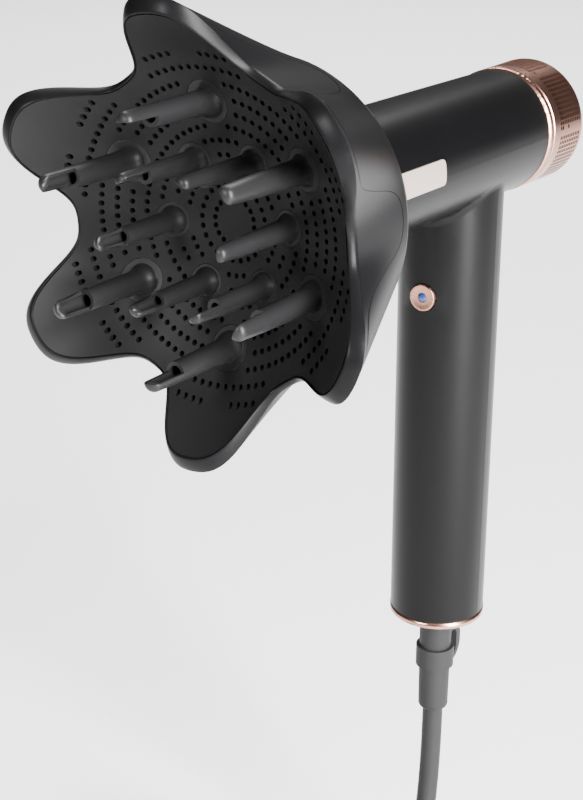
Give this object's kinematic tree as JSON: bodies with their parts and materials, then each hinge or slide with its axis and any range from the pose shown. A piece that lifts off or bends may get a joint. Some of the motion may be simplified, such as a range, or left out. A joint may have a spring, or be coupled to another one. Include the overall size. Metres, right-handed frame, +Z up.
{
  "type": "hair dryer with curl diffuser",
  "caption": "Satin black barrel hair dryer with a rose gold intake cap and a flower-shaped finger diffuser on its outlet, cord coiled.",
  "frame": {"origin": "middle of the hand grip, on the axis of the handle", "axes": "+Z up the handle to the barrel; -Y the way the air leaves, with the diffuser; +X the side with the badge"},
  "size_m": [0.2054, 0.2495, 0.4325],
  "materials": {
    "black_satin": "satin black coat",
    "badge_cream": "pearl, blank",
    "rose_gold": "rose gold metallic",
    "blue_dot": "moulded",
    "dark_plastic": "fine texture",
    "button_grey": "satin",
    "lens_white": "diffusing",
    "mesh_steel": "woven mesh",
    "spring_steel": "plain",
    "mount_rubber": "matt",
    "duct_metal": "mill finish",
    "mica": "mica sheet",
    "heater_wire": "drawn resistance wire",
    "cutout_body": "ceramic",
    "board_green": "solder mask",
    "cord_rubber": "matt charcoal",
    "tie_fabric": "hook and loop",
    "pin_metal": "plated",
    "magnet": "nickel plated",
    "diffuser_shell": "satin charcoal",
    "diffuser_inside": "matt charcoal",
    "prong_black": "satin charcoal"
  },
  "bodies": {
    "root": {"air_duct": "duct_metal", "badge_plate": "badge_cream", "body_shell": "black_satin", "button_panel": "dark_plastic", "button_springs": "spring_steel", "cap_seat_ring": "rose_gold", "control_board": "board_green", "cool_shot_guide": "dark_plastic", "cool_shot_spring": "spring_steel", "cool_shot_switch": "dark_plastic", "cord": "cord_rubber", "cord_coil": "cord_rubber", "cord_tie": "tie_fabric", "end_cap_screws": "spring_steel", "handle_end_cap": "dark_plastic", "handle_end_ring": "rose_gold", "hang_loop": "cord_rubber", "heater_coils": "heater_wire", "heater_frame": "mica", "indicator_lights": "lens_white", "inlet_guard": "dark_plastic", "ion_emitter": "dark_plastic", "motor_housing": "dark_plastic", "motor_mount_front": "mount_rubber", "motor_mount_rear": "mount_rubber", "outlet_grille": "dark_plastic", "outlet_ring": "dark_plastic", "plug_body": "cord_rubber", "plug_pins": "pin_metal", "strain_relief": "cord_rubber", "thermal_cutout": "cutout_body"},
    "impeller_body": {"impeller": "dark_plastic", "motor_shaft": "spring_steel"},
    "cool_button": {"cool_shot_button": "rose_gold", "cool_shot_dot": "blue_dot"},
    "power_key": {"power_button": "button_grey"},
    "airflow_key": {"airflow_button": "button_grey"},
    "heat_key": {"heat_button": "button_grey"},
    "filter_cap": {"rear_filter_cap": "rose_gold", "filter_mesh": "mesh_steel"},
    "coupler": {"coupler_ring": "dark_plastic", "coupler_magnets": "magnet"},
    "diffuser": {"diffuser_rear_shell": "diffuser_shell", "diffuser_bezel": "diffuser_shell", "diffuser_bowl": "diffuser_inside", "diffuser_baffle": "diffuser_inside", "diffuser_screws": "spring_steel", "prong_inner_1": "prong_black", "prong_inner_2": "prong_black", "prong_inner_3": "prong_black", "prong_inner_4": "prong_black", "prong_inner_5": "prong_black", "prong_inner_6": "prong_black", "prong_outer_1": "prong_black", "prong_outer_2": "prong_black", "prong_outer_3": "prong_black", "prong_outer_4": "prong_black", "prong_outer_5": "prong_black", "prong_outer_6": "prong_black"}
  },
  "joints": [
    {"name": "impeller_spin", "type": "hinge", "parent": "root", "child": "impeller_body", "pos_m": [0, 0, 0.105], "axis": [0, -1, 0], "continuous": true},
    {"name": "cool_shot_press", "type": "slide", "parent": "root", "child": "cool_button", "axis": [0, 1, 0], "range_m": [0, 0.0012], "stiffness_N_per_m": 400, "springref_m": -0.001},
    {"name": "power_press", "type": "slide", "parent": "root", "child": "power_key", "axis": [0, -1, 0], "range_m": [0, 0.001], "stiffness_N_per_m": 400, "springref_m": -0.001},
    {"name": "airflow_press", "type": "slide", "parent": "root", "child": "airflow_key", "axis": [0, -1, 0], "range_m": [0, 0.001], "stiffness_N_per_m": 400, "springref_m": -0.001},
    {"name": "heat_press", "type": "slide", "parent": "root", "child": "heat_key", "axis": [0, -1, 0], "range_m": [0, 0.001], "stiffness_N_per_m": 400, "springref_m": -0.001},
    {"name": "filter_cap_pull", "type": "slide", "parent": "root", "child": "filter_cap", "axis": [0, 1, 0], "range_m": [0, 0.03]},
    {"name": "diffuser_pull", "type": "slide", "parent": "root", "child": "coupler", "axis": [0, -1, 0], "range_m": [0, 0.04]},
    {"name": "diffuser_turn", "type": "hinge", "parent": "coupler", "child": "diffuser", "pos_m": [0, 0, 0.105], "axis": [0, -1, 0], "continuous": true}
  ]
}
